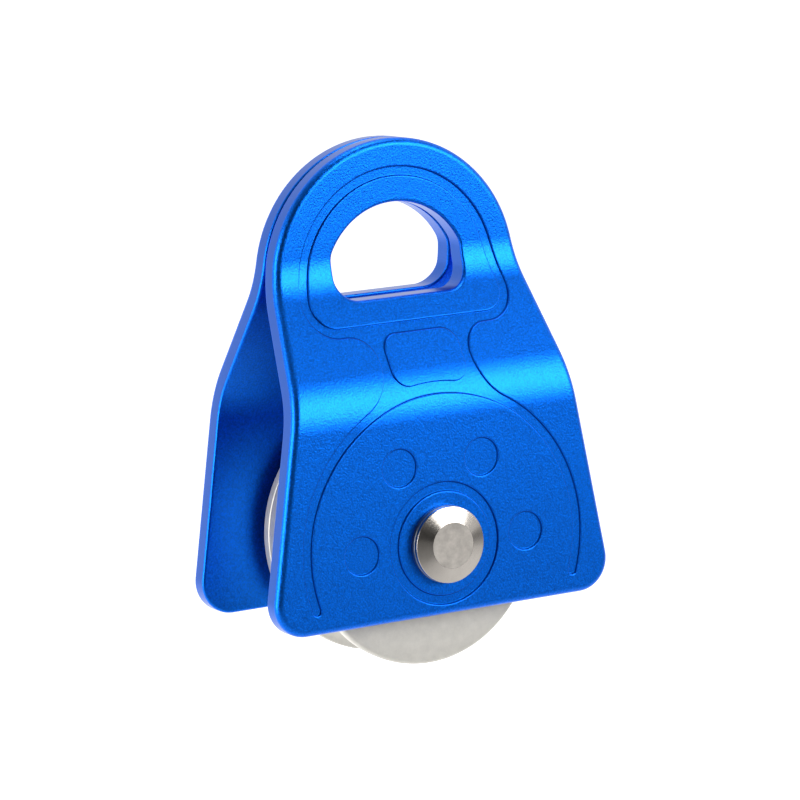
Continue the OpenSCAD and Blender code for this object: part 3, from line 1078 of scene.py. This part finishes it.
SOFTBOXES = (
    Softbox("Key softbox", 31, 17, 1.0, 0.7, 0.46, 6.6),
    Softbox("Left strip softbox", -90, 2, 1.0, 0.5, 0.9, 5.5),
    Softbox("Top softbox", 62, 78, 1.0, 0.36, 0.36, 6.0),
)


# The studio's brightness at angles, in degrees, from the middle of the dark room
STUDIO_FADE = ((100, 1.0), (75, 0.33), (58, 0.27), (42, 0.22), (26, 0.0))
# Direction of that middle: degrees to the right of the front and up
DARK_ROOM = (-25, 10)


def direction(azimuth, elevation):
    """Unit vector: azimuth to the right of the front, elevation above the horizon."""
    return Vector((
        math.sin(azimuth) * math.cos(elevation),
        -math.cos(azimuth) * math.cos(elevation),
        math.sin(elevation),
    ))


def make_camera(scene, stage):
    """Puts the camera at its distance from the point it looks at."""
    lens = bpy.data.cameras.new("Camera")
    lens.lens = stage.lens
    lens.sensor_width = 36.0
    lens.clip_start = 0.01
    camera = bpy.data.objects.new("Camera", lens)
    scene.collection.objects.link(camera)
    back = direction(-stage.azimuth, stage.elevation)
    turn = back.to_track_quat("Z", "Y").to_matrix()
    turn = turn @ Matrix.Rotation(stage.roll, 3, "Z")
    place = Vector(stage.aim) + back * stage.distance
    camera.matrix_world = Matrix.Translation(place) @ turn.to_4x4()
    scene.camera = camera


def make_floor(scene, stage, tint):
    """Lays the paper floor below the pulley, which hangs above it."""
    low, _ = cad_bounds
    mesh = bmesh.new()
    bmesh.ops.create_grid(mesh, x_segments=1, y_segments=1, size=stage.floor_reach)
    bmesh.ops.translate(mesh, verts=mesh.verts[:], vec=(0, 0, low[2] - stage.floor_gap))
    data = bpy.data.meshes.new("Studio floor")
    mesh.to_mesh(data)
    mesh.free()
    floor = bpy.data.objects.new("Studio_floor", data)
    scene.collection.objects.link(floor)
    floor.data.materials.append(glowing_paper_painted_shade(tint))


def glowing_paper_painted_shade(tint):
    """Matt paper that glows, painted light that keeps it white behind the pulley, with painted shade, dark
    grey, in front of it.
    """
    material, tree, shader = new_material("glowing_paper_painted_shade")
    shader.inputs["Roughness"].default_value = 0.9
    place = add(tree, "ShaderNodeTexCoord").outputs["Object"]
    axes = add(tree, "ShaderNodeSeparateXYZ", Vector=place)
    # Painted shade: from dark grey, 0.5 m and more in front of the pulley, to white, 0.3 m and more behind
    # it; the plates' flat faces reflect the grey part
    back = add(tree, "ShaderNodeMapRange", {"From Min": -0.5, "From Max": 0.3}, Value=axes.outputs["Y"])
    ramp = add(tree, "ShaderNodeValToRGB", Fac=back.outputs["Result"])
    ramp.color_ramp.elements[0].color = shade(tint, 0.13)
    ramp.color_ramp.elements[1].color = rgba(tint)
    tree.links.new(ramp.outputs["Color"], shader.inputs["Base Color"])
    # The paper glows in its own colours, painted light that keeps it white round the pulley
    tree.links.new(ramp.outputs["Color"], shader.inputs["Emission Color"])
    shader.inputs["Emission Strength"].default_value = 0.7
    return material


def make_world(scene):
    """A white studio, dimmer towards the camera, with the dark room behind it."""
    world = bpy.data.worlds.new("Studio")
    scene.world = world
    world.use_nodes = True
    tree = world.node_tree
    tree.nodes.clear()
    way = add(tree, "ShaderNodeTexCoord").outputs["Generated"]
    dark_way = direction(*(math.radians(degrees) for degrees in DARK_ROOM))
    facing = add(tree, "ShaderNodeVectorMath", {"operation": "DOT_PRODUCT", 1: dark_way}, i0=way)
    # Brightness against the angle from the middle of the dark room
    fade = add(tree, "ShaderNodeMapRange", {"From Min": -1.0}, Value=facing.outputs["Value"])
    ramp = add(tree, "ShaderNodeValToRGB", Fac=fade.outputs["Result"])
    ramp.color_ramp.elements[0].color = rgba((1.0, 1.0, 1.0))
    ramp.color_ramp.elements[1].color = rgba((0.0, 0.0, 0.0))
    for degrees, white in STUDIO_FADE:
        stop = ramp.color_ramp.elements.new((1 + math.cos(math.radians(degrees))) / 2)
        stop.color = rgba((white, white, white))
    background = add(tree, "ShaderNodeBackground", Color=ramp.outputs["Color"])
    output = add(tree, "ShaderNodeOutputWorld")
    tree.links.new(background.outputs[0], output.inputs["Surface"])


def make_softbox(scene, softbox, aim):
    """Hangs a softbox so that it faces the given point."""
    lamp = bpy.data.lights.new(softbox.name, "AREA")
    lamp.shape = "RECTANGLE"
    lamp.size = softbox.width
    lamp.size_y = softbox.height
    lamp.energy = softbox.brightness * math.pi * softbox.width * softbox.height
    box = bpy.data.objects.new(softbox.name, lamp)
    scene.collection.objects.link(box)
    way = direction(math.radians(softbox.azimuth), math.radians(softbox.elevation))
    turn = way.to_track_quat("Z", "Y").to_matrix().to_4x4()
    box.matrix_world = Matrix.Translation(aim + way * softbox.distance) @ turn


# ---------------------------------------------------------------- add-on


class PulleySettings(bpy.types.PropertyGroup):
    """Everything a user would change."""

    plate: PointerProperty(type=PlateSizes)
    pattern: PointerProperty(type=PatternSizes)
    turned: PointerProperty(type=TurnedSizes)
    colours: PointerProperty(type=FinishColours)
    stage: PointerProperty(type=StageSizes)


class PULLEY_PT_panel(bpy.types.Panel):
    """Lists the pulley's pieces in the sidebar"""

    bl_label = "Rope pulley"
    bl_space_type = "VIEW_3D"
    bl_region_type = "UI"
    bl_category = "Pulley"

    def draw(self, context):
        for operator in OPERATORS:
            self.layout.operator(operator.bl_idname)


OPERATORS = (
    PULLEY_OT_stage,
    PULLEY_OT_finishes,
    PULLEY_OT_plates,
    PULLEY_OT_sheave,
    PULLEY_OT_axle,
    PULLEY_OT_washers,
    PULLEY_OT_bushes,
    PULLEY_OT_bearings,
)
CLASSES = (
    PlateSizes, PatternSizes, TurnedSizes, FinishColours, StageSizes, PulleySettings,
    *OPERATORS, PULLEY_PT_panel,
)


def register():
    for item in CLASSES:
        bpy.utils.register_class(item)
    bpy.types.Scene.pulley = PointerProperty(type=PulleySettings)


def unregister():
    del bpy.types.Scene.pulley
    for item in reversed(CLASSES):
        bpy.utils.unregister_class(item)


def main():
    register()
    bpy.ops.pulley.stage()
    bpy.ops.pulley.finishes()
    bpy.ops.pulley.plates()
    bpy.ops.pulley.sheave()
    bpy.ops.pulley.axle()
    bpy.ops.pulley.washers()
    bpy.ops.pulley.bushes()
    bpy.ops.pulley.bearings()


if __name__ == "__main__":
    main()
